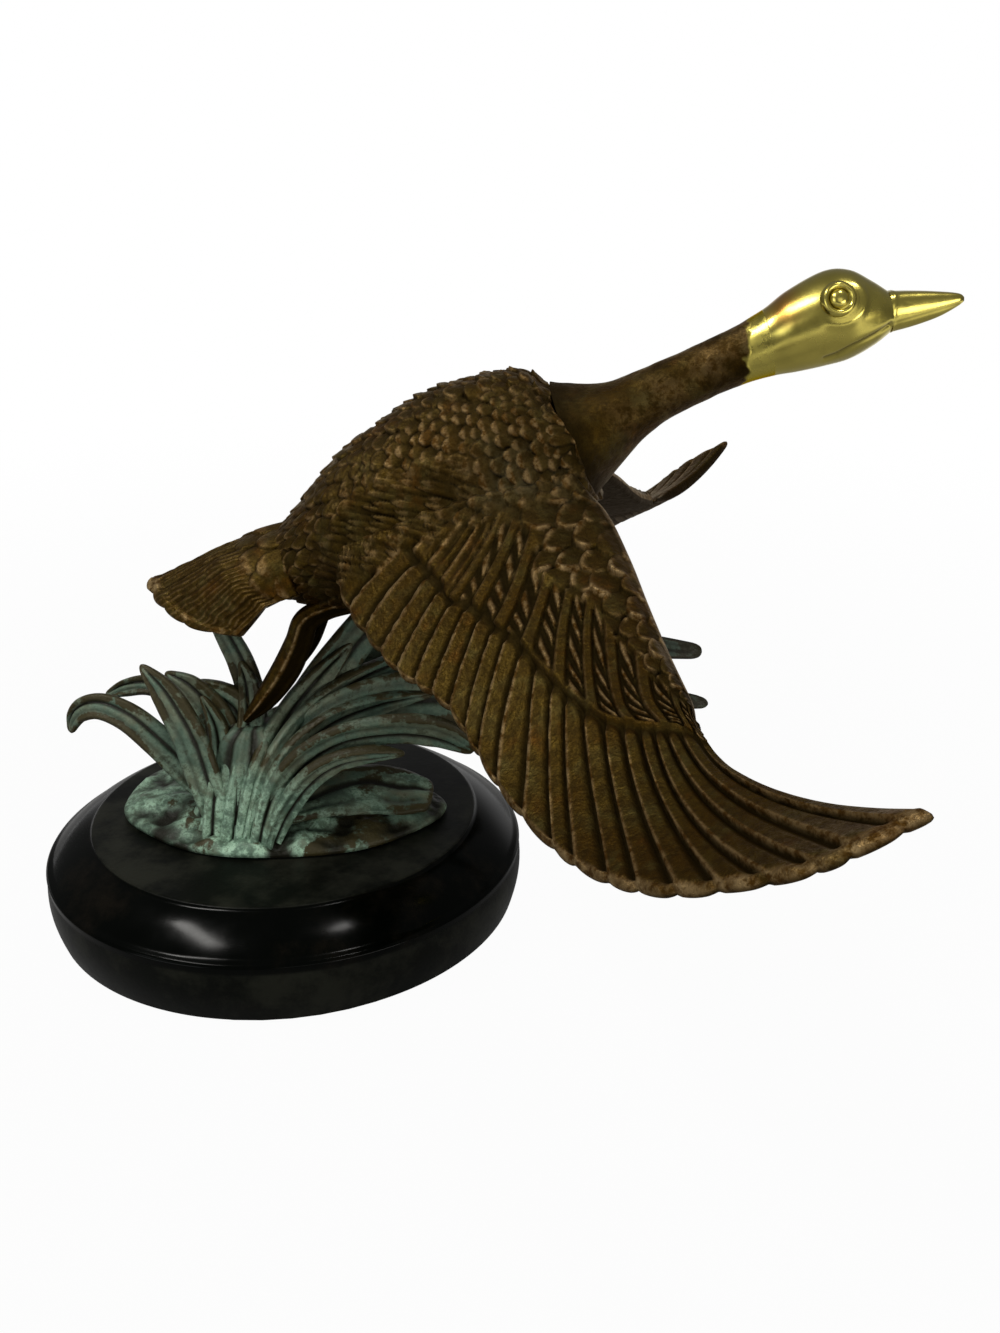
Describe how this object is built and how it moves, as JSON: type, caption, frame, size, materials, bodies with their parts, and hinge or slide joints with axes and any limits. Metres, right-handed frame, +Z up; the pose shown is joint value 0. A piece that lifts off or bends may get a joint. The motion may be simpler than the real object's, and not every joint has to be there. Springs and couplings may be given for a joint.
{
  "type": "flying goose figurine",
  "caption": "Cast metal goose in flight with spread wings and outstretched neck over a clump of curving reeds, fixed on a round polished stone base.",
  "frame": {"origin": "centre of the round base, on the underside of its felt, where the figurine stands", "axes": "+Z up, +X the way the goose flies, +Y to the goose's left along its wing span"},
  "size_m": [0.1995, 0.2446, 0.1456],
  "materials": {
    "polished_stone": "near-black marble, polished slope and matt lower band",
    "felt": "dark green felt",
    "steel": "plain",
    "verdigris": "cast, pale green patina rubbed back to brown",
    "dark_bronze": "cast, dark brown patina with golden worn edges",
    "bright_brass": "satin polished"
  },
  "bodies": {
    "root": {"marble_base": "polished_stone", "felt_pad": "felt", "fixing_washer": "steel", "fixing_nut": "steel", "fixing_stud": "steel", "ground_plate": "verdigris", "root_clump": "verdigris", "fallen_leaf": "verdigris", "reed_left_low": "verdigris", "reed_left_back": "verdigris", "reed_left_tall": "verdigris", "reed_left_inner": "verdigris", "reed_under_tail": "verdigris", "reed_under_belly": "verdigris", "reed_long_upper": "verdigris", "reed_long_lower": "verdigris", "reed_right_upper": "verdigris", "reed_right_lower": "verdigris", "reed_back_left": "verdigris", "reed_back_middle": "verdigris", "reed_back_right": "verdigris", "torso": "dark_bronze", "neck": "dark_bronze", "head": "bright_brass", "beak": "bright_brass", "right_eye": "bright_brass", "left_eye": "bright_brass", "tail": "dark_bronze", "right_wing": "dark_bronze", "left_wing": "dark_bronze", "right_leg": "dark_bronze", "left_leg": "dark_bronze"}
  },
  "joints": []
}
